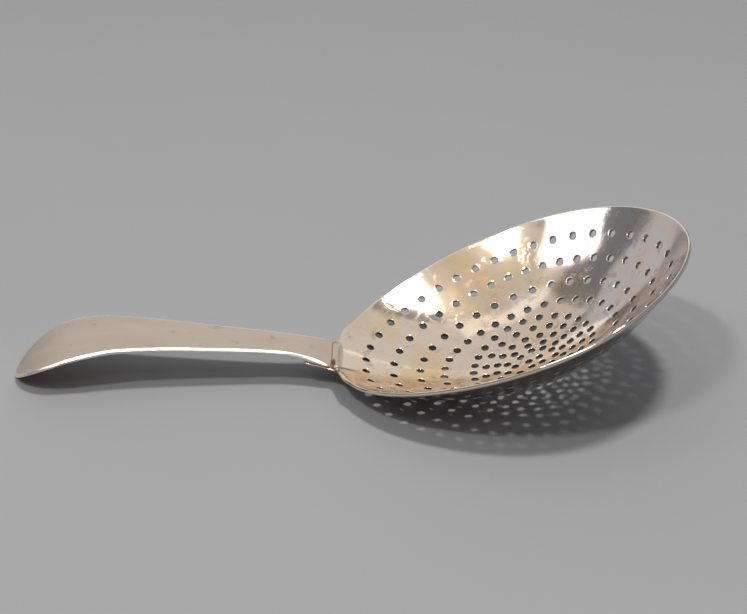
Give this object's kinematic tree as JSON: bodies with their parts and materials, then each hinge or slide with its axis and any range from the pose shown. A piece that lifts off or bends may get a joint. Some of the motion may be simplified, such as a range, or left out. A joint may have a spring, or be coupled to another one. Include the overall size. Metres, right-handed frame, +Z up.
{
  "type": "julep strainer",
  "caption": "Pierced oval julep strainer: a raised egg-shaped bowl with rings of punched holes and a flat strap handle soldered over the bowl's tab.",
  "frame": {"origin": "on the table, below the middle of the overall length, as the strainer rests on the bottom of its bowl and the tip of its handle", "axes": "+X points to the bowl's far end, +Y across to the bowl's side, +Z up"},
  "size_m": [0.1739, 0.079, 0.042],
  "materials": {
    "bowl_silver": "worn polished silver, softly reflective, with warm straw and pink toning, fine scratches and a brighter filed rim",
    "handle_silver": "satin silver with a fine lengthwise grain, warm grey toning and bright rubbed edges",
    "solder": "dull brown silver solder, slightly pitted"
  },
  "bodies": {
    "root": {"bowl": "bowl_silver", "handle": "handle_silver", "solder_seam": "solder"}
  },
  "joints": []
}
